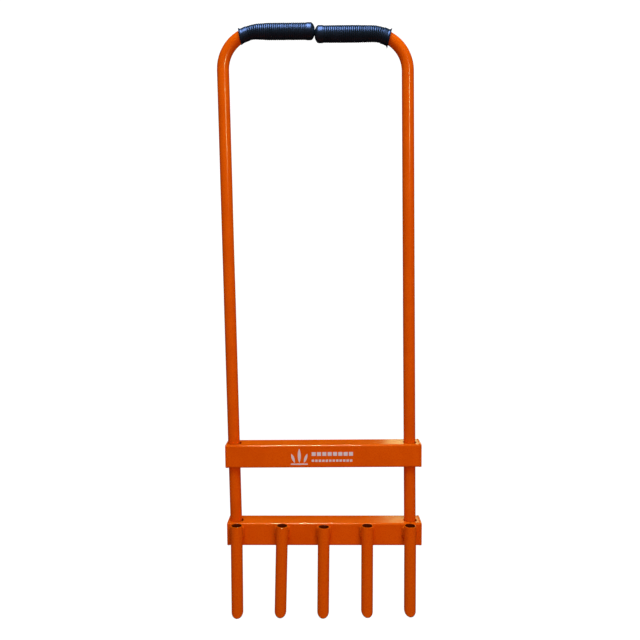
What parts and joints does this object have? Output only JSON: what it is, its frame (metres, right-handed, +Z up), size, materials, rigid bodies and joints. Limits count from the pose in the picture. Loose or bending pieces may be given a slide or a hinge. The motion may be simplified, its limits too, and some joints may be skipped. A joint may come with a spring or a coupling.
{
  "type": "core aerator",
  "caption": "Hand lawn core aerator: two bent handle tubes with black grips stand in two box crossbars, with open hollow tines welded along the front of the foot bar.",
  "frame": {"origin": "middle of the lower bar's underside, the turf line when the tines are pushed all the way in; the tine tips are 122.4 mm below it", "axes": "+Z up along the tines and the handle legs, +X to the right seen from the front, -Y to the front, the side that the tines are welded to"},
  "size_m": [0.3481, 0.0656, 1.0141],
  "materials": {
    "orange_powder_coat": "semi-gloss orange powder coat",
    "black_grip": "satin black ribbed soft vinyl",
    "zinc_steel": "bright zinc plate",
    "white_print": "matt white screen print"
  },
  "bodies": {
    "root": {"left_handle_tube": "orange_powder_coat", "right_handle_tube": "orange_powder_coat", "left_grip": "black_grip", "right_grip": "black_grip", "upper_crossbar": "orange_powder_coat", "upper_left_end_plate": "orange_powder_coat", "upper_right_end_plate": "orange_powder_coat", "upper_end_welds": "orange_powder_coat", "lower_crossbar": "orange_powder_coat", "lower_left_end_plate": "orange_powder_coat", "lower_right_end_plate": "orange_powder_coat", "lower_end_welds": "orange_powder_coat", "tine_1": "orange_powder_coat", "tine_1_welds": "orange_powder_coat", "tine_2": "orange_powder_coat", "tine_2_welds": "orange_powder_coat", "tine_3": "orange_powder_coat", "tine_3_welds": "orange_powder_coat", "tine_4": "orange_powder_coat", "tine_4_welds": "orange_powder_coat", "tine_5": "orange_powder_coat", "tine_5_welds": "orange_powder_coat", "handle_screws": "zinc_steel", "handle_rivet_nuts": "zinc_steel", "front_mark": "white_print"}
  },
  "joints": []
}
